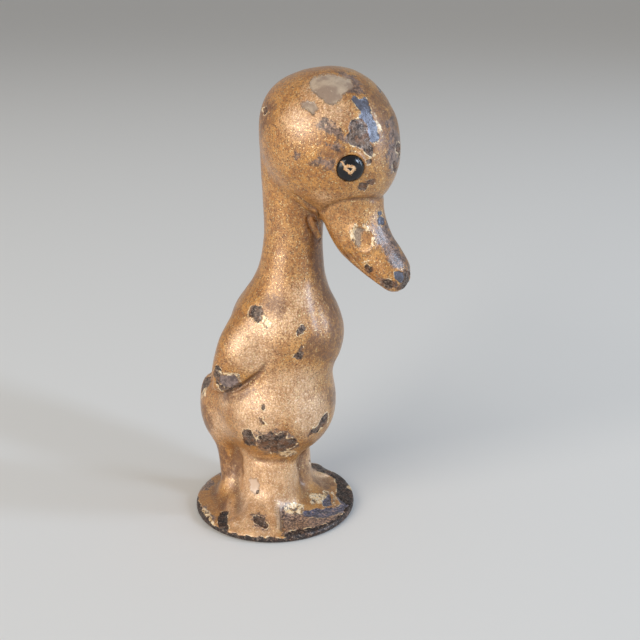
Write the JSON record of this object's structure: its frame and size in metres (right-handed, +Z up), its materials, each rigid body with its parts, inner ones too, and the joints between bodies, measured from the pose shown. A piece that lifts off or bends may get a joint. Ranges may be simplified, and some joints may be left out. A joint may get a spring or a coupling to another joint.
{
  "type": "duck paperweight",
  "caption": "Standing duckling figurine of painted cast iron on a round base, used as a paperweight.",
  "frame": {"origin": "on the surface that it stands on, under the middle of the duckling's box", "axes": "+X forward, towards the bill; +Y the duckling's left; +Z up"},
  "size_m": [0.0606, 0.0446, 0.1206],
  "materials": {
    "bronze_painted_iron": "speckled gold-bronze paint, chipped to dark iron",
    "screw_steel": "dull, darkened steel",
    "black_enamel": "gloss"
  },
  "bodies": {
    "root": {"right_half": "bronze_painted_iron", "left_half": "bronze_painted_iron", "assembly_screw": "screw_steel", "right_eye": "black_enamel", "left_eye": "black_enamel"}
  },
  "joints": []
}
